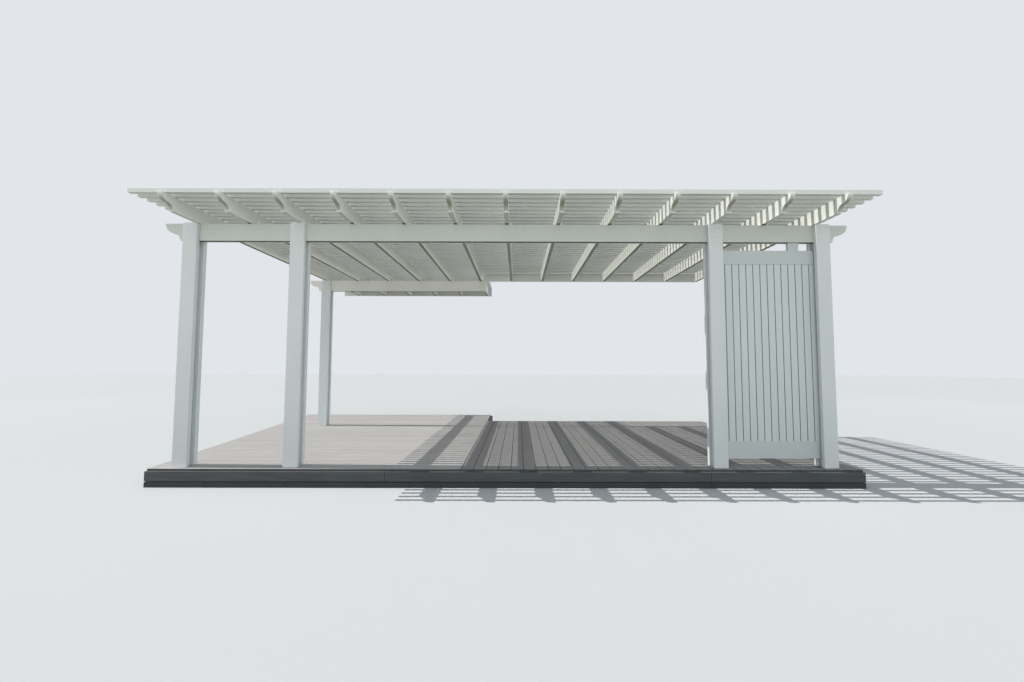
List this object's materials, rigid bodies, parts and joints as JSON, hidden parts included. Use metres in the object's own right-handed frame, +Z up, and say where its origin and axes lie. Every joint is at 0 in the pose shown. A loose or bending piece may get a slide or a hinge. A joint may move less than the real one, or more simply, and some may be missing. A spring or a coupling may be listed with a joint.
{
  "type": "lattice-roofed pergola on a low timber deck",
  "caption": "White lattice-roofed pergola with ogee-ended beams and rafters, plated posts and a boarded privacy screen, on a low grey timber deck.",
  "frame": {"origin": "ground level, at the middle of the roof's width and of its right part's depth", "axes": "+X along the front beam to the right as seen from the front, +Y from the front towards the ledgers at the wall, +Z up"},
  "size_m": [8.8798, 5.8168, 3.2541],
  "materials": {
    "beam_white": "satin white paint over embossed sheet",
    "rafter_white": "satin white paint over embossed sheet",
    "slat_white": "satin white paint",
    "post_white": "satin white paint over embossed sheet",
    "screen_white": "matt white",
    "deck_boards": "weathered grey stain",
    "deck_fascia": "dark grey stain",
    "deck_frame": "rough sawn"
  },
  "bodies": {
    "root": {"front_beam": "beam_white", "rear_beam": "beam_white", "right_ledger": "rafter_white", "left_ledger": "rafter_white", "rafter_01": "rafter_white", "rafter_02": "rafter_white", "rafter_03": "rafter_white", "rafter_04": "rafter_white", "rafter_05": "rafter_white", "rafter_06": "rafter_white", "rafter_07": "rafter_white", "rafter_08": "rafter_white", "rafter_09": "rafter_white", "rafter_10": "rafter_white", "rafter_11": "rafter_white", "rafter_12": "rafter_white", "rafter_13": "rafter_white", "post_1_core": "post_white", "post_1_front_plate": "post_white", "post_1_rear_plate": "post_white", "post_2_core": "post_white", "post_2_front_plate": "post_white", "post_2_rear_plate": "post_white", "post_3_core": "post_white", "post_3_front_plate": "post_white", "post_3_rear_plate": "post_white", "post_4_core": "post_white", "post_4_front_plate": "post_white", "post_4_rear_plate": "post_white", "rear_post_core": "post_white", "rear_post_front_plate": "post_white", "rear_post_rear_plate": "post_white", "lattice_front": "slat_white", "lattice_middle": "slat_white", "lattice_rear": "slat_white", "lattice_left": "slat_white", "screen_top_rail": "screen_white", "screen_bottom_rail": "screen_white", "screen_boards": "screen_white", "screen_hanger": "screen_white", "deck_surface": "deck_boards", "deck_fascia": "deck_fascia", "deck_side_rims": "deck_fascia", "deck_rear_rims": "deck_fascia", "deck_girder": "deck_frame", "deck_joists": "deck_frame", "deck_bearers": "deck_frame"}
  },
  "joints": []
}
